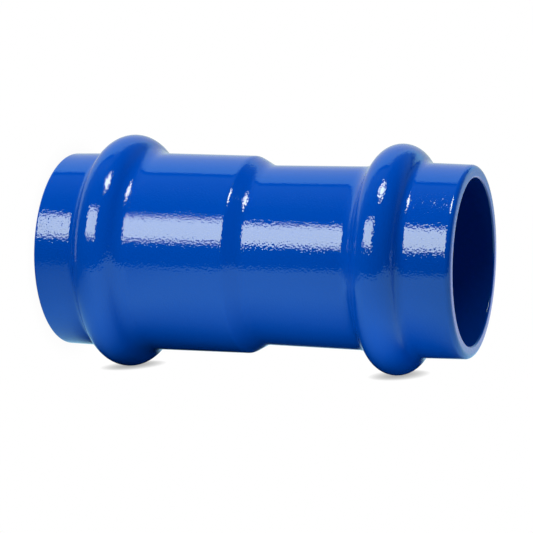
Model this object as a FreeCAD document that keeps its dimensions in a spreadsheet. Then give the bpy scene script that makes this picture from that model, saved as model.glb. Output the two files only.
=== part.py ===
import FreeCAD, Part
import os
import Sketcher

# Double socket reducer, a casting that joins a 140 mm pressure pipe to a 125 mm one.
# The casting is turned about the Z axis. The mouth of the large socket is at Z = 0 and faces down,
# and the mouth of the small socket faces up. Each socket has a bead near its mouth, and the bead is
# hollow inside: it holds the rubber seal that grips the pipe. Everything is in millimetres.

document = FreeCAD.newDocument("double_socket_reducer")

SIZES = (
    ("large_pipe_diameter", 140.0, "outside diameter of the pipe in the large socket"),
    ("small_pipe_diameter", 125.0, "outside diameter of the pipe in the small socket"),
    ("pipe_clearance", 0.75, "radial gap between a pipe and its socket"),
    ("throat_diameter", 113.0, "bore of the passage between the two sockets"),
    ("large_socket_depth", 146.0, "from the large mouth to the seat of its pipe"),
    ("small_socket_depth", 164.0, "from the small mouth to the seat of its pipe"),
    ("seat_spacing", 19.0, "from the seat of the large pipe to the seat of the small one"),
    ("throat_length", 8.0, "straight part of the throat, below the small seat"),
    ("large_seat_width", 6.75, "flat ring that the end of the large pipe meets"),
    ("large_collar_wall", 5.25, "wall at the large mouth"),
    ("small_collar_wall", 9.95, "wall at the small mouth"),
    ("collar_draft", 0.0175, "growth of a collar's radius for each millimetre from the mouth"),
    ("large_barrel_wall", 6.9, "wall of the large socket behind its bead"),
    ("small_barrel_wall", 6.25, "wall of the small socket at the foot of the step"),
    ("barrel_draft", 0.0085, "growth of a barrel's radius for each millimetre towards its bead"),
    ("large_bead_wall", 7.45, "wall over the large seal chamber, at the crown"),
    ("small_bead_wall", 11.25, "wall over the small seal chamber, at the crown"),
    ("large_bead_height", 52.0, "from the large mouth to the middle of its bead"),
    ("small_bead_height", 57.0, "from the small mouth to the middle of its bead"),
    ("bead_arc_radius", 18.0, "radius of a bead's round section"),
    ("collar_foot_radius", 7.0, "fillet where a bead runs into its collar"),
    ("barrel_foot_radius", 15.0, "fillet where a bead runs into its barrel"),
    ("step_offset", 8.0, "from the seat of the large pipe to the start of the outside step"),
    ("step_slope", 0.56, "fall of the outside step's radius for each millimetre of length"),
    ("shoulder_radius", 7.0, "rounding at the top edge of the step"),
    ("step_foot_radius", 15.0, "fillet at the foot of the step"),
    ("large_lip_radius", 2.0, "outer rounding of the large mouth"),
    ("small_lip_radius", 4.0, "outer rounding of the small mouth"),
    ("inner_lip_radius", 1.5, "inner rounding of both mouths"),
    ("chamber_depth", 13.5, "depth of a seal chamber below the socket wall"),
    ("chamber_front", 10.0, "from the middle of a bead to the chamber's front wall"),
    ("chamber_back", 6.0, "from the middle of a bead to the end of the chamber's floor"),
    ("chamber_runout", 15.0, "from the middle of a bead to the end of the sloping back wall"),
    ("chamber_corner_radius", 3.0, "fillet in the corners of a chamber"),
    ("seal_clearance", 0.2, "gap between a seal and the wall of its chamber"),
    ("seal_proud", 0.25, "how far a seal stands into the socket when a pipe presses it back"),
    ("heel_width", 8.5, "width of the seal's heel, its square back ring"),
    ("heel_corner_radius", 2.8, "rounding of the heel's outer corners"),
    ("funnel_depth", 1.75, "how far the seal's funnel opens towards the mouth"),
    ("funnel_length", 4.5, "length of the funnel"),
    ("lip_root", 5.5, "thickness of the seal's lip where it leaves the heel"),
    ("lip_tip", 2.0, "thickness of the seal's lip at its end"),
    ("lip_gap", 4.5, "from the tip of the lip to the end of its chamber"),
    ("lip_tip_radius", 0.9, "rounding of the lip's tip"),
)

sheet = document.addObject("Spreadsheet::Sheet", "sizes")
for row, (alias, value, note) in enumerate(SIZES, start=1):
    sheet.set(f"A{row}", alias)
    sheet.set(f"B{row}", str(value))
    sheet.setAlias(f"B{row}", alias)
    sheet.set(f"C{row}", note)
document.recompute()


def value_of(expression):
    """The number that an expression on the sheet gives now."""
    return float(sheet.evalExpression(expression))


def sketch_on_section(body, name):
    """An empty sketch on the body's XZ plane: across is the radius, up is the height."""
    sketch = body.newObject("Sketcher::SketchObject", name)
    planes = [plane for plane in body.Origin.OriginFeatures if plane.Role == "XZ_Plane"]
    sketch.AttachmentSupport = [(planes[0], "")]
    sketch.MapMode = "FlatFace"
    return sketch


def tie(sketch, kind, element, point, expression):
    """Bind one dimension of a sketch to the sheet, measured from the sketch's origin."""
    number = value_of(expression)
    if kind == "Radius":
        index = sketch.addConstraint(Sketcher.Constraint(kind, element, number))
    else:
        index = sketch.addConstraint(Sketcher.Constraint(kind, -1, 1, element, point, number))
    sketch.setExpression(f"Constraints[{index}]", expression)


def outline(body, name, corners):
    """A closed outline of straight lines through corners given as (radius, height) expressions."""
    sketch = sketch_on_section(body, name)
    places = [FreeCAD.Vector(value_of(radius), value_of(height), 0) for radius, height in corners]
    for place, following in zip(places, places[1:] + places[:1]):
        sketch.addGeometry(Part.LineSegment(place, following))
    last = len(corners) - 1
    for line in range(len(corners)):
        following = 0 if line == last else line + 1
        sketch.addConstraint(Sketcher.Constraint("Coincident", line, 2, following, 1))
    for line, (radius, height) in enumerate(corners):
        tie(sketch, "DistanceX", line, 1, radius)
        tie(sketch, "DistanceY", line, 1, height)
    return sketch


def turned(body, kind, name, sketch):
    """A Revolution or a Groove of a sketch, all the way round the Z axis."""
    feature = body.newObject(f"PartDesign::{kind}", name)
    feature.Profile = sketch
    feature.ReferenceAxis = (sketch, ["V_Axis"])
    feature.Angle = 360
    document.recompute()
    return feature


def ring_edges(feature, height, radius, reach):
    """Names of the feature's round edges that pass within reach of a (radius, height) place."""
    names = []
    for number, edge in enumerate(feature.Shape.Edges, start=1):
        if not isinstance(edge.Curve, Part.Circle):
            continue
        rise = edge.Curve.Center.z - height
        spread = edge.Curve.Radius - radius
        if (rise * rise + spread * spread) ** 0.5 < reach:
            names.append(f"Edge{number}")
    return names


def rounded(body, name, places, radius, reach=0.05):
    """A fillet of one radius on the round edges at the given (radius, height) expressions."""
    base = body.Tip
    names = []
    for place_radius, place_height in places:
        found = ring_edges(base, value_of(place_height), value_of(place_radius), reach)
        if not found:
            raise RuntimeError(f"{name} found no edge at {place_radius}, {place_height}")
        names += [found_name for found_name in found if found_name not in names]
    fillet = body.newObject("PartDesign::Fillet", name)
    fillet.Base = (base, names)
    fillet.setExpression("Radius", radius)
    document.recompute()
    return fillet


# The length follows from what the sockets have to hold: two pipes, and the wall between their ends.
LENGTH = "(sizes.large_socket_depth + sizes.seat_spacing + sizes.small_socket_depth)"


def from_mouth(end, distance):
    """The height of a place that lies a distance inside the mouth of one end."""
    if end == "large":
        return f"({distance})"
    return f"({LENGTH} - ({distance}))"


def bore_of(end):
    """The radius of a socket's wall."""
    return f"(sizes.{end}_pipe_diameter / 2 + sizes.pipe_clearance)"


def collar_of(end, distance):
    """The outside radius of a collar at a distance from its mouth."""
    return f"({bore_of(end)} + sizes.{end}_collar_wall + sizes.collar_draft * ({distance}))"


# The outside of the large barrel is thickest at its bead and slims towards the step, and the small
# barrel is slimmest at the foot of the step. The step is a cone between the two.
STEP_TOP = "(sizes.large_socket_depth + sizes.step_offset)"
LARGE_BARREL_RISE = f"({STEP_TOP} - sizes.large_bead_height)"
LARGE_BARREL_AT_BEAD = f"({bore_of('large')} + sizes.large_barrel_wall)"
LARGE_BARREL_AT_STEP = f"({LARGE_BARREL_AT_BEAD} - sizes.barrel_draft * {LARGE_BARREL_RISE})"
SMALL_BARREL_AT_STEP = f"({bore_of('small')} + sizes.small_barrel_wall)"
STEP_DROP = f"({LARGE_BARREL_AT_STEP} - {SMALL_BARREL_AT_STEP})"
STEP_FOOT = f"({STEP_TOP} + {STEP_DROP} / sizes.step_slope)"
# The two roundings of the step share its cone, so on a low or steep step each takes only a part of it.
WHOLE_CONE_RADIUS = f"({STEP_DROP} / (1 - 1 / sqrt(1 + sizes.step_slope ^ 2)))"
SHOULDER_SHARE = 0.5
FOOT_SHARE = 0.45
SHOULDER_RADIUS = f"min(sizes.shoulder_radius; {SHOULDER_SHARE} * {WHOLE_CONE_RADIUS})"
STEP_FOOT_RADIUS = f"min(sizes.step_foot_radius; {FOOT_SHARE} * {WHOLE_CONE_RADIUS})"
SMALL_BEAD = from_mouth("small", "sizes.small_bead_height")
SMALL_BARREL_AT_BEAD = f"({SMALL_BARREL_AT_STEP} + sizes.barrel_draft * ({SMALL_BEAD} - {STEP_FOOT}))"


def casting_blank(body):
    """The solid blank of the casting without its beads: collars, barrels and the step."""
    corners = (
        ("0", "0"),
        (collar_of("large", "0"), "0"),
        (collar_of("large", "sizes.large_bead_height"), "sizes.large_bead_height"),
        (LARGE_BARREL_AT_BEAD, "sizes.large_bead_height"),
        (LARGE_BARREL_AT_STEP, STEP_TOP),
        (SMALL_BARREL_AT_STEP, STEP_FOOT),
        (SMALL_BARREL_AT_BEAD, SMALL_BEAD),
        (collar_of("small", "sizes.small_bead_height"), SMALL_BEAD),
        (collar_of("small", "0"), LENGTH),
        ("0", LENGTH),
    )
    return turned(body, "Revolution", "blank", outline(body, "blank_outline", corners))


def bead(body, end):
    """One round bead about a socket, over its seal chamber."""
    crown = f"({bore_of(end)} + sizes.chamber_depth + sizes.{end}_bead_wall)"
    sketch = sketch_on_section(body, f"{end}_bead_section")
    middle = f"({crown} - sizes.bead_arc_radius)"
    height = from_mouth(end, f"sizes.{end}_bead_height")
    centre = FreeCAD.Vector(value_of(middle), value_of(height), 0)
    circle = Part.Circle(centre, FreeCAD.Vector(0, 0, 1), value_of("sizes.bead_arc_radius"))
    sketch.addGeometry(circle)
    tie(sketch, "DistanceX", 0, 3, middle)
    tie(sketch, "DistanceY", 0, 3, height)
    tie(sketch, "Radius", 0, 0, "sizes.bead_arc_radius")
    return turned(body, "Revolution", f"{end}_bead", sketch)


def bead_feet(body, wall):
    """Fillets where both beads run into the wall on one side of them, their collars or their barrels."""
    base = body.Tip
    names = []
    for end in ("large", "small"):
        height = value_of(from_mouth(end, f"sizes.{end}_bead_height"))
        radius = value_of(collar_of(end, f"sizes.{end}_bead_height"))
        arc = value_of("sizes.bead_arc_radius")
        for number, edge in enumerate(base.Shape.Edges, start=1):
            if not isinstance(edge.Curve, Part.Circle):
                continue
            rise = edge.Curve.Center.z - height
            side = "barrel" if (rise > 0) == (end == "large") else "collar"
            if side == wall and arc / 2 < abs(rise) <= arc and abs(edge.Curve.Radius - radius) < arc / 2:
                names.append(f"Edge{number}")
    fillet = body.newObject("PartDesign::Fillet", f"{wall}_feet")
    fillet.Base = (base, names)
    fillet.setExpression("Radius", f"sizes.{wall}_foot_radius")
    document.recompute()
    return fillet


def chamber_corners(end):
    """The corners of one seal chamber, from the front wall to the end of the sloping back wall."""
    bead_height = f"sizes.{end}_bead_height"
    bore = bore_of(end)
    floor = f"({bore} + sizes.chamber_depth)"
    return [
        (bore, from_mouth(end, f"{bead_height} - sizes.chamber_front")),
        (floor, from_mouth(end, f"{bead_height} - sizes.chamber_front")),
        (floor, from_mouth(end, f"{bead_height} + sizes.chamber_back")),
        (bore, from_mouth(end, f"{bead_height} + sizes.chamber_runout")),
    ]


def socket_corners(end):
    """The inside of one socket from its mouth to the seat of its pipe."""
    bore = bore_of(end)
    mouth = [(bore, from_mouth(end, "0"))]
    seat = [(bore, from_mouth(end, f"sizes.{end}_socket_depth"))]
    return mouth + chamber_corners(end) + seat


THROAT = "(sizes.throat_diameter / 2)"
LARGE_SEAT_EDGE = f"({bore_of('large')} - sizes.large_seat_width)"
LARGE_SEAT = from_mouth("large", "sizes.large_socket_depth")
SMALL_SEAT = from_mouth("small", "sizes.small_socket_depth")
THROAT_START = f"({SMALL_SEAT} - sizes.throat_length)"


def waterway(body):
    """The inside of the casting: both sockets, the large seat and its cone, and the throat."""
    corners = [("0", "0")]
    corners += socket_corners("large")
    corners += [(LARGE_SEAT_EDGE, LARGE_SEAT), (THROAT, THROAT_START), (THROAT, SMALL_SEAT)]
    corners += socket_corners("small")[::-1]
    corners += [("0", LENGTH)]
    return turned(body, "Groove", "waterway", outline(body, "waterway_outline", corners))


def reducer_body():
    """The casting, one piece of ductile iron."""
    body = document.addObject("PartDesign::Body", "reducer_body")
    body.Label = "reducer_body"
    casting_blank(body)
    rounded(body, "shoulder", [(LARGE_BARREL_AT_STEP, STEP_TOP)], SHOULDER_RADIUS)
    rounded(body, "step_foot", [(SMALL_BARREL_AT_STEP, STEP_FOOT)], STEP_FOOT_RADIUS)
    bead(body, "large")
    bead(body, "small")
    bead_feet(body, "collar")
    bead_feet(body, "barrel")
    rounded(body, "large_lip", [(collar_of("large", "0"), "0")], "sizes.large_lip_radius")
    small_mouth = (collar_of("small", "0"), LENGTH)
    rounded(body, "small_lip", [small_mouth], "sizes.small_lip_radius")
    waterway(body)
    chambers = chamber_corners("large")[1:3] + chamber_corners("small")[1:3]
    rounded(body, "chamber_fillets", chambers, "sizes.chamber_corner_radius")
    mouths = [(bore_of("large"), "0"), (bore_of("small"), LENGTH)]
    rounded(body, "inner_lips", mouths, "sizes.inner_lip_radius")
    return body


def seal_ring(end):
    """A rubber lip seal in its chamber: a heel at the front wall, and a lip that points inwards.

    The lip is drawn as a pipe presses it back. Water pressure behind it pushes it onto the pipe.
    """
    body = document.addObject("PartDesign::Body", f"{end}_seal_ring")
    body.Label = f"{end}_seal_ring"
    bead_height = f"sizes.{end}_bead_height"
    bore = bore_of(end)
    inner = f"({bore} - sizes.seal_proud)"
    outer = f"({bore} + sizes.chamber_depth - sizes.seal_clearance)"
    front = f"{bead_height} - sizes.chamber_front + sizes.seal_clearance"
    funnel_end = from_mouth(end, f"{front} + sizes.funnel_length")
    heel_back = from_mouth(end, f"{front} + sizes.heel_width")
    tip = from_mouth(end, f"{bead_height} + sizes.chamber_runout - sizes.lip_gap")
    heel_front = from_mouth(end, front)
    corners = (
        (f"({inner} + sizes.funnel_depth)", heel_front),
        (inner, funnel_end),
        (inner, tip),
        (f"({inner} + sizes.lip_tip)", tip),
        (f"({inner} + sizes.lip_root)", heel_back),
        (outer, heel_back),
        (outer, heel_front),
    )
    turned(body, "Revolution", f"{end}_seal_section", outline(body, f"{end}_seal_outline", corners))
    heel = [(outer, heel_front), (outer, heel_back)]
    rounded(body, f"{end}_heel_corners", heel, "sizes.heel_corner_radius")
    tips = [(inner, tip), (f"({inner} + sizes.lip_tip)", tip)]
    rounded(body, f"{end}_lip_tip", tips, "sizes.lip_tip_radius")
    return body


pieces = [reducer_body(), seal_ring("large"), seal_ring("small")]
document.recompute()

for item in document.Objects:
    if "Invalid" in item.State or "Error" in item.State:
        raise RuntimeError(f"{item.Name} failed: {item.State}")
for piece in pieces:
    if piece.Shape.isNull() or not piece.Shape.isValid():
        raise RuntimeError(f"{piece.Label} has no valid shape")

os.makedirs("parts", exist_ok=True)
for piece in pieces:
    piece.Shape.exportStep(f"parts/{piece.Label}.step")
    volume = piece.Shape.Volume / 1000
    print(f"{piece.Label}: {volume:.1f} cubic centimetres, {len(piece.Shape.Solids)} solid")
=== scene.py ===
"""Double socket reducer: a cast iron pipe coupling with two sockets, coated blue, and a seal in each bead.

It stands on the mouth of its large socket, with its axis along Z. The camera is turned on its side, so that
the large socket lies on the left of the picture and the small one on the right.
"""
import math

import bmesh
import bpy
from mathutils import Matrix, Vector


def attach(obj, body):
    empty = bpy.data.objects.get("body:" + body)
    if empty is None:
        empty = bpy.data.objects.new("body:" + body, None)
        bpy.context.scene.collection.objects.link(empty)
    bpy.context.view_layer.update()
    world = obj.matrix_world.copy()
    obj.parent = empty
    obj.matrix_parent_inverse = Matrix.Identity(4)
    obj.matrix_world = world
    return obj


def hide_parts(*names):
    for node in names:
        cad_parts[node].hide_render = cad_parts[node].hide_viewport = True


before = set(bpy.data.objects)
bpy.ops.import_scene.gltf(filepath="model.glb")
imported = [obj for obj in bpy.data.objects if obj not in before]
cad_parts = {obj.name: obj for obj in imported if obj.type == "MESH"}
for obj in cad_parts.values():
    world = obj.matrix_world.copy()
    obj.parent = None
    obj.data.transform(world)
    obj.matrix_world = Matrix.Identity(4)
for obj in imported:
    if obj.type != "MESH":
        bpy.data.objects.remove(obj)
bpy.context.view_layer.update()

# The casting is one piece of ductile iron, poured round a core: two sockets for plastic pressure pipe, a
# bead round each of them that is hollow inside for the seal, and a step between the two barrels. It is
# drawn as its section, in millimetres from the axis and from the large mouth, and turned about Z.
MM = 0.001
LARGE_PIPE = 140.0
SMALL_PIPE = 125.0
PIPE_CLEARANCE = 0.75
LARGE_BORE = LARGE_PIPE / 2 + PIPE_CLEARANCE
SMALL_BORE = SMALL_PIPE / 2 + PIPE_CLEARANCE
THROAT = 56.5
LARGE_DEPTH = 146.0
SMALL_DEPTH = 164.0
SEAT_SPACING = 19.0
LENGTH = LARGE_DEPTH + SEAT_SPACING + SMALL_DEPTH
LARGE_BEAD = 52.0
SMALL_BEAD = LENGTH - 57.0
CHAMBER_DEPTH = 13.5
LARGE_BEAD_WALL = 7.45
SMALL_BEAD_WALL = 11.25
LARGE_CROWN = LARGE_BORE + CHAMBER_DEPTH + LARGE_BEAD_WALL
SMALL_CROWN = SMALL_BORE + CHAMBER_DEPTH + SMALL_BEAD_WALL
BEAD_ARC = 18.0
COLLAR_FOOT = 7.0
BARREL_FOOT = 15.0
COLLAR_DRAFT = 0.0175
BARREL_DRAFT = 0.0085
LARGE_MOUTH_WALL = 5.25
SMALL_MOUTH_WALL = 9.95
LARGE_MOUTH = LARGE_BORE + LARGE_MOUTH_WALL
SMALL_MOUTH = SMALL_BORE + SMALL_MOUTH_WALL
LARGE_BARREL_WALL = 6.9
SMALL_BARREL_WALL = 6.25
LARGE_BARREL = LARGE_BORE + LARGE_BARREL_WALL
SMALL_BARREL = SMALL_BORE + SMALL_BARREL_WALL
STEP_PAST_SEAT = 8.0
STEP_TOP = LARGE_DEPTH + STEP_PAST_SEAT
STEP_SLOPE = 0.56
STEP_ROUNDING = (7.0, 15.0)
CHAMBER_FRONT = 10.0
CHAMBER_BACK = 6.0
CHAMBER_RUNOUT = 15.0
CHAMBER_CORNER = 3.0
LARGE_SEAT_WIDTH = 6.75
THROAT_RUNOUT = 8.0
LARGE_MOUTH_EDGE = 2.0
SMALL_MOUTH_EDGE = 4.0
BORE_EDGE = 1.5
COATED_EDGE = 0.8
HOLD = 1.0
TURN_STEPS = 240
BEND_STEP = math.radians(8)
LEAST_STEPS = 3
MERGE = 0.001

large_barrel_top = LARGE_BARREL - BARREL_DRAFT * (STEP_TOP - LARGE_BEAD)
step_foot = STEP_TOP + (large_barrel_top - SMALL_BARREL) / STEP_SLOPE


def start_section(radius, height):
    """A new mesh that holds one point of a section, in the plane through the axis."""
    section = bmesh.new()
    bmesh.ops.create_vert(section, co=(radius, 0, height))
    section.verts.ensure_lookup_table()
    return section, section.verts[0]


def step_to(section, point, place):
    """A straight edge from the last point of the section to a place."""
    made = bmesh.ops.extrude_vert_indiv(section, verts=[point])
    point = made["verts"][0]
    point.co = (place.x, 0, place.y)
    return point


def run_to(section, point, place):
    """A straight run, with a loop close to each end that keeps the long faces flat in the gloss."""
    here = Vector((point.co.x, point.co.z))
    length = (place - here).length
    if length > 3 * HOLD:
        along = (place - here) / length
        point = step_to(section, point, here + along * HOLD)
        point = step_to(section, point, place - along * HOLD)
    return step_to(section, point, place)


def bend_to(section, point, centre, place):
    """An arc about a centre, from the last point of the section to a place."""
    here = Vector((point.co.x, point.co.z)) - centre
    there = place - centre
    angle = math.atan2(here.y * there.x - here.x * there.y, here.dot(there))
    steps = max(LEAST_STEPS, math.ceil(abs(angle) / BEND_STEP))
    made = bmesh.ops.spin(section, geom=[point], cent=(centre.x, 0, centre.y), axis=(0, 1, 0), angle=angle,
                          steps=steps)
    return made["geom_last"][0]


def rounded_corner(before, corner, after, radius):
    """Where the rounding of a corner starts, its centre, and where it ends."""
    back = (before - corner).normalized()
    ahead = (after - corner).normalized()
    half = math.acos(max(-1, min(1, back.dot(ahead)))) / 2
    reach = radius / math.tan(half)
    centre = corner + (back + ahead).normalized() * radius / math.sin(half)
    return corner + back * reach, centre, corner + ahead * reach


def foot_places(wall_start, wall_end, radius, bead, side):
    """Where the fillet between a wall and a bead meets the wall, its centre, and where it meets the bead."""
    along = (wall_end - wall_start).normalized()
    out = Vector((along.y, -along.x))
    lifted = wall_start + out * radius
    middle = (bead - lifted).dot(along)
    off = (bead - lifted - along * middle).length
    reach = math.sqrt((BEAD_ARC + radius) ** 2 - off ** 2)
    centre = lifted + along * (middle + side * reach)
    return centre - out * radius, centre, centre.lerp(bead, radius / (BEAD_ARC + radius))


def draw_section(corners, beads=()):
    """A closed section through (radius, height, rounding) corners, with a bead on each wall that has one."""
    places = [Vector(corner[:2]) for corner in corners]
    count = len(corners)
    roundings = [rounded_corner(places[i - 1], places[i], places[(i + 1) % count], corners[i][2])
                 for i in range(count)]
    section, point = start_section(*roundings[0][0])
    for i in range(count):
        start, centre, end = roundings[i]
        if i:
            point = run_to(section, point, start)
        point = bend_to(section, point, centre, end)
        for bead, wall_before, wall_after in beads:
            if places[i] == wall_before[0]:
                on_wall, centre, on_bead = foot_places(*wall_before, bead, -1)
                point = run_to(section, point, on_wall)
                point = bend_to(section, point, centre, on_bead)
                on_wall, centre, on_bead = foot_places(*wall_after, bead, 1)
                point = bend_to(section, point, bead, on_bead)
                point = bend_to(section, point, centre, on_wall)
    run_to(section, point, roundings[0][0])
    bmesh.ops.remove_doubles(section, verts=section.verts, dist=MERGE)
    return section


def turned_piece(name, section):
    """A section in millimetres, turned all the way round Z, as a smooth piece in metres."""
    geometry = section.verts[:] + section.edges[:]
    bmesh.ops.spin(section, geom=geometry, cent=(0, 0, 0), axis=(0, 0, 1), angle=2 * math.pi,
                   steps=TURN_STEPS, use_merge=True)
    bmesh.ops.remove_doubles(section, verts=section.verts, dist=MERGE)
    bmesh.ops.scale(section, vec=(MM, MM, MM), verts=section.verts)
    bmesh.ops.recalc_face_normals(section, faces=section.faces)
    for face in section.faces:
        face.smooth = True
    mesh = bpy.data.meshes.new(name)
    section.to_mesh(mesh)
    section.free()
    piece = bpy.data.objects.new(name, mesh)
    bpy.context.collection.objects.link(piece)
    return piece


def chamber(bore, bead, inwards):
    """The corners of one seal chamber, from its front wall; inwards is 1 where that is upwards, or -1."""
    floor = bore + CHAMBER_DEPTH
    return [
        (bore, bead - CHAMBER_FRONT * inwards, COATED_EDGE),
        (floor, bead - CHAMBER_FRONT * inwards, CHAMBER_CORNER),
        (floor, bead + CHAMBER_BACK * inwards, CHAMBER_CORNER),
        (bore, bead + CHAMBER_RUNOUT * inwards, COATED_EDGE),
    ]


outside = [
    (LARGE_MOUTH, 0, LARGE_MOUTH_EDGE),
    (large_barrel_top, STEP_TOP, STEP_ROUNDING[0]),
    (SMALL_BARREL, step_foot, STEP_ROUNDING[1]),
    (SMALL_MOUTH, LENGTH, SMALL_MOUTH_EDGE),
]
small_seat = LENGTH - SMALL_DEPTH
inside = [(SMALL_BORE, LENGTH, BORE_EDGE)]
inside += chamber(SMALL_BORE, SMALL_BEAD, -1)
inside += [
    (SMALL_BORE, small_seat, COATED_EDGE),
    (THROAT, small_seat, COATED_EDGE),
    (THROAT, small_seat - THROAT_RUNOUT, COATED_EDGE),
    (LARGE_BORE - LARGE_SEAT_WIDTH, LARGE_DEPTH, COATED_EDGE),
    (LARGE_BORE, LARGE_DEPTH, COATED_EDGE),
]
inside += chamber(LARGE_BORE, LARGE_BEAD, 1)[::-1]
inside += [(LARGE_BORE, 0, BORE_EDGE)]

large_collar_end = Vector((LARGE_MOUTH + COLLAR_DRAFT * LARGE_BEAD, LARGE_BEAD))
large_collar_wall = (Vector((LARGE_MOUTH, 0)), large_collar_end, COLLAR_FOOT)
large_barrel_wall = (Vector((LARGE_BARREL, LARGE_BEAD)), Vector((large_barrel_top, STEP_TOP)), BARREL_FOOT)
small_barrel_end = Vector((SMALL_BARREL + BARREL_DRAFT * (SMALL_BEAD - step_foot), SMALL_BEAD))
small_barrel_wall = (Vector((SMALL_BARREL, step_foot)), small_barrel_end, BARREL_FOOT)
small_collar_start = Vector((SMALL_MOUTH + COLLAR_DRAFT * (LENGTH - SMALL_BEAD), SMALL_BEAD))
small_collar_wall = (small_collar_start, Vector((SMALL_MOUTH, LENGTH)), COLLAR_FOOT)
beads = (
    (Vector((LARGE_CROWN - BEAD_ARC, LARGE_BEAD)), large_collar_wall, large_barrel_wall),
    (Vector((SMALL_CROWN - BEAD_ARC, SMALL_BEAD)), small_barrel_wall, small_collar_wall),
)
casting = turned_piece("casting", draw_section(outside + inside, beads))


def add_node(tree, kind, links=(), **settings):
    """A node with its settings, and with links given as (input, output of another node)."""
    node = tree.nodes.new(kind)
    for key, value in settings.items():
        if key in node.bl_rna.properties:
            setattr(node, key, value)
        else:
            node.inputs[key.replace("_", " ")].default_value = value
    for socket, source in links:
        tree.links.new(source, node.inputs[socket])
    return node


def linear(hex_code):
    """An sRGB hex colour as linear red, green, blue and alpha."""
    parts = [int(hex_code[i:i + 2], 16) / 255 for i in (1, 3, 5)]
    return [part / 12.92 if part <= 0.04045 else ((part + 0.055) / 1.055) ** 2.4 for part in parts] + [1.0]


def new_material(name):
    """An empty material, and the shader that ends it."""
    material = bpy.data.materials.new(name)
    material.use_nodes = True
    tree = material.node_tree
    tree.nodes.clear()
    output = add_node(tree, "ShaderNodeOutputMaterial")
    shader = add_node(tree, "ShaderNodeBsdfPrincipled")
    tree.links.new(shader.outputs[0], output.inputs["Surface"])
    return material, shader


# The coat is epoxy powder, fused onto the hot casting. It gives the eye a deep blue, with bright
# reflections ragged from a ripple like orange peel. The real ripple is too fine for the picture, so it is
# drawn as coarse as it needs to show, and weaker where straight walls face the top of the picture.
COAT_BLUE = "#004BB7"
COAT_ROUGHNESS = 0.045
COAT_IOR = 1.5
PEEL_MM = 1.4
PEEL_HEIGHT_MM = 0.12
PEEL_TURN = (0.6, 0.8, 0.35)
PEEL_ON_TOP = 0.25
TOP_SIDE = (-0.78, -0.66)
BEND_SLANT = (0.04, 0.25)
coat, coat_shader = new_material("epoxy_powder_coat")
coat_tree = coat.node_tree
coat_shader.inputs["Base Color"].default_value = linear(COAT_BLUE)
coat_shader.inputs["Roughness"].default_value = COAT_ROUGHNESS
coat_shader.inputs["IOR"].default_value = COAT_IOR
coat_place = add_node(coat_tree, "ShaderNodeTexCoord").outputs["Object"]
turned = add_node(coat_tree, "ShaderNodeMapping", [("Vector", coat_place)], Rotation=PEEL_TURN)
peel = add_node(coat_tree, "ShaderNodeTexNoise", [("Vector", turned.outputs[0])],
                Scale=1 / (PEEL_MM * MM), Detail=0.0, Roughness=0.5)
coat_normal = add_node(coat_tree, "ShaderNodeNewGeometry").outputs["Normal"]
facing = add_node(coat_tree, "ShaderNodeSeparateXYZ", [(0, coat_normal)])
on_side = add_node(coat_tree, "ShaderNodeMapRange", [("Value", facing.outputs["X"])],
                   From_Min=TOP_SIDE[0], From_Max=TOP_SIDE[1], To_Min=PEEL_ON_TOP, To_Max=1.0)
slant = add_node(coat_tree, "ShaderNodeMath", [(0, facing.outputs["Z"])], operation="ABSOLUTE")
on_bend = add_node(coat_tree, "ShaderNodeMapRange", [("Value", slant.outputs[0])],
                   From_Min=BEND_SLANT[0], From_Max=BEND_SLANT[1])
peel_strength = add_node(coat_tree, "ShaderNodeMath", [(0, on_side.outputs[0]), (1, on_bend.outputs[0])],
                         operation="MAXIMUM")
bump = add_node(coat_tree, "ShaderNodeBump",
                [("Height", peel.outputs[0]), ("Strength", peel_strength.outputs[0])],
                Distance=PEEL_HEIGHT_MM * MM)
coat_tree.links.new(bump.outputs[0], coat_shader.inputs["Normal"])

casting.data.materials.append(coat)
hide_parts("reducer_body")
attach(casting, "root")

# The two seals are moulded rubber rings that lie loose in the chambers. Each has a square heel against the
# front wall of its chamber, and a lip that points inwards along the socket, drawn as a pipe presses it back.
SEAL_CLEARANCE = 0.2
SEAL_PROUD = 0.25
FUNNEL_DEPTH = 1.75
FUNNEL_LENGTH = 4.5
HEEL_LENGTH = 8.5
HEEL_CORNER = 2.8
LIP_SHORT = 4.5
LIP_TIP = 2.0
LIP_ROOT = 5.5
LIP_EDGE = 0.9
RUBBER_EDGE = 0.4


def seal_section(bore, bead, inwards):
    """The section of one seal, from the funnel at its front."""
    inner = bore - SEAL_PROUD
    outer = bore + CHAMBER_DEPTH - SEAL_CLEARANCE
    front = bead - (CHAMBER_FRONT - SEAL_CLEARANCE) * inwards
    heel_back = front + HEEL_LENGTH * inwards
    tip = bead + (CHAMBER_RUNOUT - LIP_SHORT) * inwards
    corners = [
        (inner + FUNNEL_DEPTH, front, RUBBER_EDGE),
        (inner, front + FUNNEL_LENGTH * inwards, RUBBER_EDGE),
        (inner, tip, LIP_EDGE),
        (inner + LIP_TIP, tip, LIP_EDGE),
        (inner + LIP_ROOT, heel_back, RUBBER_EDGE),
        (outer, heel_back, HEEL_CORNER),
        (outer, front, HEEL_CORNER),
    ]
    return draw_section(corners)


# The rubber gives the eye a dull, even black with no clear reflection.
RUBBER_BLACK = "#1B1B1C"
RUBBER_ROUGHNESS = 0.55
rubber, rubber_shader = new_material("moulded_epdm_rubber")
rubber_shader.inputs["Base Color"].default_value = linear(RUBBER_BLACK)
rubber_shader.inputs["Roughness"].default_value = RUBBER_ROUGHNESS
seals = (("large", LARGE_BORE, LARGE_BEAD, 1), ("small", SMALL_BORE, SMALL_BEAD, -1))
for end, bore, bead, inwards in seals:
    seal = turned_piece(f"{end}_seal", seal_section(bore, bead, inwards))
    seal.data.materials.append(rubber)
    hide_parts(f"{end}_seal_ring")
    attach(seal, "root")

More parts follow.
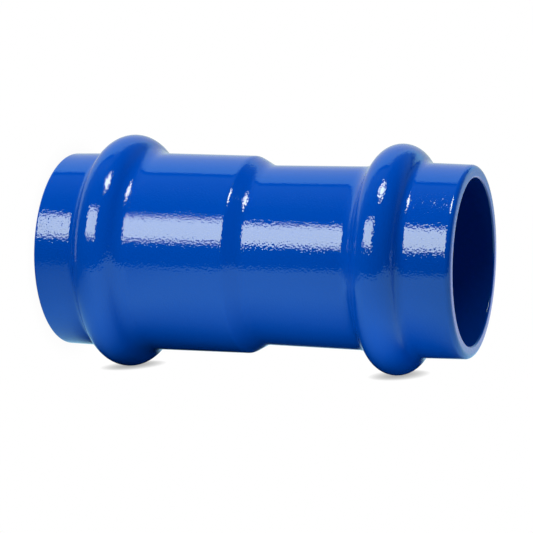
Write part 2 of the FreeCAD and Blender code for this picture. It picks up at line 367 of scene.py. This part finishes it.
# The studio floor is white, and is drawn as three flat sheets. One lies under the part as it stands. One
# touches both beads, where the camera sees the part lying down, and one just behind that one lights the
# colour but not the gloss. They are seen from their front only, and let the light of the lamps through.
# Near the part they carry a painted shadow. What they reflect and light carries painted shade near the
# part and towards the left of the picture.
FLOOR_HALF = 3.0
TABLE_LOW = (-1.5, -0.4)
TABLE_HIGH = (0.9, 3.0)
BOUNCE_LOW = (-0.12, -0.4)
BOUNCE_HIGH = (0.275, 3.0)
BOUNCE_BEHIND = 0.002
SHADE_SAMPLES = 16
# Painted shade in what the table sheets reflect and light: near the part, and towards the left of the
# picture.
PAINTED_SHADE_OPEN = (0.3, 0.7)
LEFT_SHADE_HEIGHTS = (-0.22, 0.06)
LEFT_SHADE_LEVEL = 0.05
NEAR_TO_FAR = (-0.05, 0.3)
TILT = math.atan((LARGE_CROWN - SMALL_CROWN) / (SMALL_BEAD - LARGE_BEAD))

# The real blue is so deep that a picture can't hold it, so that a weak reflection of white looks cool on it
# and a strong one looks white. These tints of the white that is seen in the gloss stand in for that.
COOL_WHITE = (0.36, 0.86, 1.0, 1.0)
FAR_WHITE = (0.78, 0.91, 1.2, 1.0)
PLAIN_WHITE = (1.0, 1.0, 1.0, 1.0)


def white_sheet(name, low, high, turn, painted_shadow_reach, painted_shadow_depth, painted_shade_reach, gloss_level, diffuse_level):
    """A flat white sheet between two corners of its plane, turned into place, with painted shade near the
    part.
    """
    shape = bmesh.new()
    bmesh.ops.create_grid(shape, x_segments=1, y_segments=1, size=0.5)
    bmesh.ops.scale(shape, vec=(high[0] - low[0], high[1] - low[1], 1), verts=shape.verts)
    bmesh.ops.translate(shape, vec=((high[0] + low[0]) / 2, (high[1] + low[1]) / 2, 0), verts=shape.verts)
    bmesh.ops.transform(shape, matrix=turn, verts=shape.verts)
    mesh = bpy.data.meshes.new(name)
    shape.to_mesh(mesh)
    shape.free()
    thing = bpy.data.objects.new(name, mesh)
    thing.visible_shadow = False
    thing.visible_glossy = gloss_level > 0
    thing.visible_diffuse = diffuse_level > 0
    bpy.context.collection.objects.link(thing)

    material = bpy.data.materials.new(name + "_white")
    material.use_nodes = True
    tree = material.node_tree
    tree.nodes.clear()
    rays = add_node(tree, "ShaderNodeLightPath")
    seen = add_node(tree, "ShaderNodeNewGeometry")
    where = add_node(tree, "ShaderNodeSeparateXYZ", [(0, seen.outputs["Position"])])
    # Painted shadow: ambient occlusion darkens the sheet where the part comes close, as the camera sees it.
    close = add_node(tree, "ShaderNodeAmbientOcclusion", samples=SHADE_SAMPLES, Distance=painted_shadow_reach)
    painted_shadow = add_node(tree, "ShaderNodeMapRange", [("Value", close.outputs["AO"])],
                       To_Min=1 - painted_shadow_depth)
    # Painted shade: ambient occlusion darkens what the sheet reflects and lights near the part, and height
    # darkens it towards the left.
    wide = add_node(tree, "ShaderNodeAmbientOcclusion", samples=SHADE_SAMPLES, Distance=painted_shade_reach)
    painted_shade = add_node(tree, "ShaderNodeMapRange", [("Value", wide.outputs["AO"])],
                    From_Min=PAINTED_SHADE_OPEN[0], From_Max=PAINTED_SHADE_OPEN[1])
    left = add_node(tree, "ShaderNodeMapRange", [("Value", where.outputs["Z"])],
                    From_Min=LEFT_SHADE_HEIGHTS[0], From_Max=LEFT_SHADE_HEIGHTS[1], To_Min=LEFT_SHADE_LEVEL)
    after_painted_shade = add_node(tree, "ShaderNodeMath", [(0, painted_shade.outputs[0]), (1, left.outputs[0])],
                    operation="MULTIPLY")
    in_gloss = add_node(tree, "ShaderNodeMapRange", [("Value", rays.outputs["Is Glossy Ray"])],
                        To_Min=diffuse_level, To_Max=gloss_level)
    reflected = add_node(tree, "ShaderNodeMath", [(0, after_painted_shade.outputs[0]), (1, in_gloss.outputs[0])],
                         operation="MULTIPLY")
    level = add_node(tree, "ShaderNodeMix", [
        ("Factor", rays.outputs["Is Camera Ray"]), ("A", reflected.outputs[0]), ("B", painted_shadow.outputs[0])])
    far = add_node(tree, "ShaderNodeMapRange", [("Value", where.outputs["Y"])],
                   From_Min=NEAR_TO_FAR[0], From_Max=NEAR_TO_FAR[1])
    shade = add_node(tree, "ShaderNodeMixRGB", [("Fac", far.outputs[0])],
                     Color1=COOL_WHITE, Color2=FAR_WHITE)
    tone = add_node(tree, "ShaderNodeMixRGB", [
        ("Fac", rays.outputs["Is Glossy Ray"]), ("Color2", shade.outputs[0])], Color1=PLAIN_WHITE)
    glow = add_node(tree, "ShaderNodeEmission", [("Color", tone.outputs[0]), ("Strength", level.outputs[0])])
    clear = add_node(tree, "ShaderNodeBsdfTransparent")
    mixed = add_node(tree, "ShaderNodeMixShader", [
        (0, seen.outputs["Backfacing"]), (1, glow.outputs[0]), (2, clear.outputs[0])])
    add_node(tree, "ShaderNodeOutputMaterial", [("Surface", mixed.outputs[0])])
    mesh.materials.append(material)


white_sheet("floor", (-FLOOR_HALF, -FLOOR_HALF), (FLOOR_HALF, FLOOR_HALF), Matrix.Identity(4),
            painted_shadow_reach=0.015, painted_shadow_depth=0.06, painted_shade_reach=0.2, gloss_level=0, diffuse_level=0)
crown = Vector((LARGE_CROWN * MM, 0, LARGE_BEAD * MM))
to_table = Matrix.Translation(crown) @ Matrix.Rotation(-math.pi / 2 - TILT, 4, "Y")
white_sheet("table", TABLE_LOW, TABLE_HIGH, to_table, painted_shadow_reach=0.01, painted_shadow_depth=0.6, painted_shade_reach=0.25,
            gloss_level=1.25, diffuse_level=0)
under_table = to_table @ Matrix.Translation((0, 0, -BOUNCE_BEHIND))
white_sheet("table_bounce", BOUNCE_LOW, BOUNCE_HIGH, under_table, painted_shadow_reach=0.01, painted_shadow_depth=0.6,
            painted_shade_reach=0.25, gloss_level=0, diffuse_level=1.3)

# The studio's back wall is white and bends round the part to a sharp edge. In front of that edge there is a
# dark line and a faint glow. The wall is narrower towards the end with the small mouth, and a glow beyond
# that mouth only lights the colour.
WALL_EDGE = math.radians(72)
EDGE_BLUR = math.radians(1.2)
WALL_LEVEL = 0.85
WALL_GLOSS = (0.84, 1.25)
WALL_GLOSS_START = math.radians(38)
NARROWING = math.radians(48)
NARROWING_HEIGHTS = (-0.05, 0.25)
DARK_LINE = (math.radians(5), math.radians(7))
GLOW_LEVEL = 0.38
GLOW_WIDTH = math.radians(45)
END_LEVEL = 1.1
END_HEIGHTS = (0.72, 0.9)
EDGE_TO_MIDDLE = (math.radians(70), math.radians(25))
PAST_MOUTH = (0.1, 0.3)
WALL_WHITE = (0.76, 0.9, 0.86, 1.0)
PAST_MOUTH_WHITE = (0.78, 0.91, 1.7, 1.0)
world = bpy.data.worlds.new("studio")
bpy.context.scene.world = world
world.use_nodes = True
world.cycles.sampling_method = "NONE"
sky_tree = world.node_tree
sky_tree.nodes.clear()
sky_rays = add_node(sky_tree, "ShaderNodeLightPath")
direction = add_node(sky_tree, "ShaderNodeTexCoord").outputs["Generated"]
parts = add_node(sky_tree, "ShaderNodeSeparateXYZ", [(0, direction)])
turn_round = add_node(sky_tree, "ShaderNodeMath", [(0, parts.outputs["X"]), (1, parts.outputs["Y"])],
                      operation="ARCTAN2")
from_back = add_node(sky_tree, "ShaderNodeMath", [(0, turn_round.outputs[0])], operation="ABSOLUTE")
narrowing = add_node(sky_tree, "ShaderNodeMapRange", [("Value", parts.outputs["Z"])],
                     interpolation_type="SMOOTHSTEP", From_Min=NARROWING_HEIGHTS[0],
                     From_Max=NARROWING_HEIGHTS[1], To_Max=NARROWING)
off_wall = add_node(sky_tree, "ShaderNodeMath", [(0, from_back.outputs[0]), (1, narrowing.outputs[0])])
to_edge = add_node(sky_tree, "ShaderNodeMapRange", [("Value", off_wall.outputs[0])],
                   From_Min=WALL_GLOSS_START, From_Max=WALL_EDGE, To_Min=WALL_GLOSS[0], To_Max=WALL_GLOSS[1])
wall_level = add_node(sky_tree, "ShaderNodeMapRange", [
    ("Value", sky_rays.outputs["Is Glossy Ray"]), ("To Max", to_edge.outputs[0])], To_Min=WALL_LEVEL)
wall = add_node(sky_tree, "ShaderNodeMapRange",
                [("Value", off_wall.outputs[0]), ("To Max", wall_level.outputs[0])],
                interpolation_type="SMOOTHSTEP", From_Min=WALL_EDGE + EDGE_BLUR,
                From_Max=WALL_EDGE - EDGE_BLUR, To_Min=0.0)
dim = add_node(sky_tree, "ShaderNodeMapRange", [("Value", off_wall.outputs[0])],
               From_Min=WALL_EDGE, From_Max=WALL_EDGE + GLOW_WIDTH, To_Min=GLOW_LEVEL, To_Max=0.0)
line = add_node(sky_tree, "ShaderNodeMapRange", [("Value", off_wall.outputs[0])],
                From_Min=WALL_EDGE + DARK_LINE[0], From_Max=WALL_EDGE + DARK_LINE[1])
past_line = add_node(sky_tree, "ShaderNodeMath", [(0, dim.outputs[0]), (1, line.outputs[0])],
                     operation="MULTIPLY")
round_part = add_node(sky_tree, "ShaderNodeMath", [(0, wall.outputs[0]), (1, past_line.outputs[0])],
                      operation="MAXIMUM")
end_level = add_node(sky_tree, "ShaderNodeMapRange", [("Value", sky_rays.outputs["Is Glossy Ray"])],
                     To_Min=END_LEVEL, To_Max=0.0)
end_glow = add_node(sky_tree, "ShaderNodeMapRange",
                    [("Value", parts.outputs["Z"]), ("To Max", end_level.outputs[0])],
                    From_Min=END_HEIGHTS[0], From_Max=END_HEIGHTS[1])
lit = add_node(sky_tree, "ShaderNodeMath", [(0, round_part.outputs[0]), (1, end_glow.outputs[0])],
               operation="MAXIMUM")
middle = add_node(sky_tree, "ShaderNodeMapRange", [("Value", off_wall.outputs[0])],
                  From_Min=EDGE_TO_MIDDLE[0], From_Max=EDGE_TO_MIDDLE[1])
past_mouth = add_node(sky_tree, "ShaderNodeMapRange", [("Value", parts.outputs["Z"])],
                      From_Min=PAST_MOUTH[0], From_Max=PAST_MOUTH[1])
wall_shade = add_node(sky_tree, "ShaderNodeMixRGB", [("Fac", past_mouth.outputs[0])],
                      Color1=WALL_WHITE, Color2=PAST_MOUTH_WHITE)
sky_shade = add_node(sky_tree, "ShaderNodeMixRGB",
                     [("Fac", middle.outputs[0]), ("Color2", wall_shade.outputs[0])], Color1=COOL_WHITE)
sky = add_node(sky_tree, "ShaderNodeBackground",
               [("Color", sky_shade.outputs[0]), ("Strength", lit.outputs[0])])
plain = add_node(sky_tree, "ShaderNodeBackground", Color=PLAIN_WHITE)
both = add_node(sky_tree, "ShaderNodeMixShader", [
    (0, sky_rays.outputs["Is Camera Ray"]), (1, sky.outputs[0]), (2, plain.outputs[0])])
add_node(sky_tree, "ShaderNodeOutputWorld", [("Surface", both.outputs[0])])

# Two softboxes show in the gloss only: a wide one in front makes the long streaks, and a small bright one
# above makes the short ones on the bends. Four fills light the colour only: a large one in front and one
# above, one towards the small mouth, and a small one below the collar of that mouth.
GLOSS_TINT = (0.88, 1.0, 0.84)


def softbox(name, height, turn_degrees, distance, width, depth, level, gloss, roll_degrees=0):
    """A lamp at a height along the part, turned about it from the front towards the top of the picture."""
    lamp = bpy.data.lights.new(name, "AREA")
    lamp.shape = "RECTANGLE"
    lamp.size = width
    lamp.size_y = depth
    lamp.energy = level * math.pi * width * depth
    if gloss:
        lamp.color = GLOSS_TINT
    thing = bpy.data.objects.new(name, lamp)
    turn = math.radians(turn_degrees)
    aim = Vector((-math.sin(turn), -math.cos(turn), 0))
    across = Vector((0, 0, 1))
    facing_part = Matrix((across, aim.cross(across), aim)).transposed().to_4x4()
    roll = Matrix.Rotation(math.radians(roll_degrees), 4, "Z")
    thing.matrix_world = Matrix.Translation(aim * distance + across * height) @ facing_part @ roll
    thing.visible_camera = False
    thing.visible_diffuse = not gloss
    thing.visible_glossy = gloss
    bpy.context.collection.objects.link(thing)


softbox("wide_softbox", height=-0.15, turn_degrees=27.5, distance=0.93, width=0.78, depth=0.435, level=11.0,
        gloss=True, roll_degrees=-4.8)
softbox("small_softbox", height=0.365, turn_degrees=70.0, distance=0.98, width=0.29, depth=0.27, level=21,
        gloss=True, roll_degrees=-34)
softbox("front_fill", height=-1.0, turn_degrees=30, distance=4.0, width=2.4, depth=2.4, level=3.1,
        gloss=False)
softbox("top_fill", height=-1.0, turn_degrees=75, distance=4.0, width=2.4, depth=2.4, level=7.9,
        gloss=False)
softbox("mouth_fill", height=0.85, turn_degrees=85, distance=2.4, width=1.0, depth=1.0, level=3.0,
        gloss=False)
softbox("low_fill", height=0.31, turn_degrees=-75, distance=0.32, width=0.1, depth=0.1, level=6.0,
        gloss=False)

# The camera stands 1.6 m away and lies on its side, so that the axis runs along the picture. It looks at
# the part from beyond the small mouth, which is why that mouth can be seen.
FOCUS_PIXELS = 2097.5
PICTURE_PIXELS = 533
SENSOR_WIDTH = 36
CAMERA_PLACE = Vector((-0.08743562, -1.53076123, 0.71235029))
CAMERA_SIGHT = Vector((0.05922776, 0.93965415, -0.33696016))
CAMERA_UP = Vector((-0.99811907, 0.05039374, -0.03491117))
camera_data = bpy.data.cameras.new("camera")
camera = bpy.data.objects.new("camera", camera_data)
bpy.context.collection.objects.link(camera)
bpy.context.scene.camera = camera
camera_data.sensor_width = SENSOR_WIDTH
camera_data.lens = FOCUS_PIXELS / PICTURE_PIXELS * SENSOR_WIDTH
axes = Matrix((CAMERA_SIGHT.cross(CAMERA_UP), CAMERA_UP, -CAMERA_SIGHT)).transposed().to_4x4()
camera.matrix_world = Matrix.Translation(CAMERA_PLACE) @ axes

bpy.context.scene.view_settings.view_transform = "Standard"
